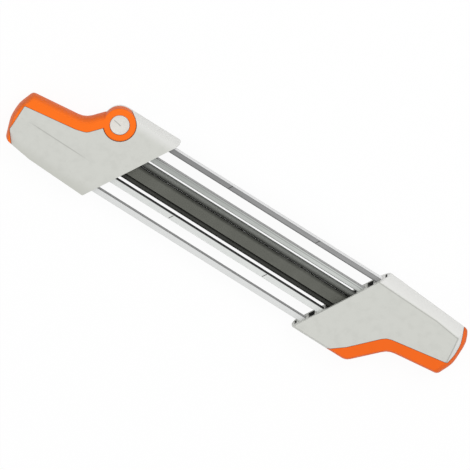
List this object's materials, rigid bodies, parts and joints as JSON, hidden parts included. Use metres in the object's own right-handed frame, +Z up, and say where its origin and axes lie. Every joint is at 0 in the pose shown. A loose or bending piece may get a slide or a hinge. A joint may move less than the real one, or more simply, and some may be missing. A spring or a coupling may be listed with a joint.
{
  "type": "chainsaw file guide",
  "caption": "Hand-held chainsaw sharpening guide: a flat file and round files between guide bars, held in two slanted moulded handles, one with a cam lever that clamps the files.",
  "frame": {"origin": "middle of the tool on the plane it rests on", "axes": "+X along the files from the lever handle to the plain handle, +Y across the tool towards the lever's pivot, +Z up through the handles' thickness"},
  "size_m": [0.379, 0.074, 0.025],
  "materials": {
    "housing_plastic": "light grey moulded plastic, fine grain",
    "orange_plastic": "orange moulded plastic, satin",
    "bar_steel": "ground steel bar",
    "file_steel": "dark cut file steel",
    "inner_plastic": "dark glass-filled plastic",
    "fastener_steel": "plain steel wire and screws"
  },
  "bodies": {
    "frame": {"clamp_spring": "fastener_steel", "edge_grip": "orange_plastic", "file_rest": "inner_plastic", "flat_file": "file_steel", "guide_pin_1": "fastener_steel", "guide_pin_2": "fastener_steel", "guide_pin_3": "fastener_steel", "guide_pin_4": "fastener_steel", "guide_pin_5": "fastener_steel", "guide_pin_6": "fastener_steel", "guide_pin_7": "fastener_steel", "guide_pin_8": "fastener_steel", "inner_guide_lower": "bar_steel", "inner_guide_upper": "bar_steel", "lever_housing_bottom": "housing_plastic", "lever_housing_top": "housing_plastic", "lever_screw_1": "fastener_steel", "lever_screw_2": "fastener_steel", "lever_screw_3": "fastener_steel", "outer_guide_lower": "bar_steel", "outer_guide_upper": "bar_steel", "pivot_cap": "housing_plastic", "pivot_pin": "fastener_steel", "plain_housing_bottom": "housing_plastic", "plain_housing_top": "housing_plastic", "plain_screw_1": "fastener_steel", "plain_screw_2": "fastener_steel", "plain_screw_3": "fastener_steel", "round_file_lower": "file_steel", "round_file_upper": "file_steel"},
    "lever": {"locking_lever": "orange_plastic"},
    "clamp": {"clamp_slide": "inner_plastic"}
  },
  "joints": [
    {"name": "lever_swing", "type": "hinge", "parent": "frame", "child": "lever", "pos_m": [-0.11868, 0.0245, 0.0125], "axis": [0, 0, -1], "range_deg": [0, 90]},
    {"name": "clamp_travel", "type": "slide", "parent": "frame", "child": "clamp", "axis": [-1, 0, 0], "range_m": [0, 0.004], "deforming": ["clamp_spring"]}
  ],
  "couplings": [
    {"joint": "clamp_travel", "follows": "lever_swing", "m_per_rad": 0.0025465}
  ]
}
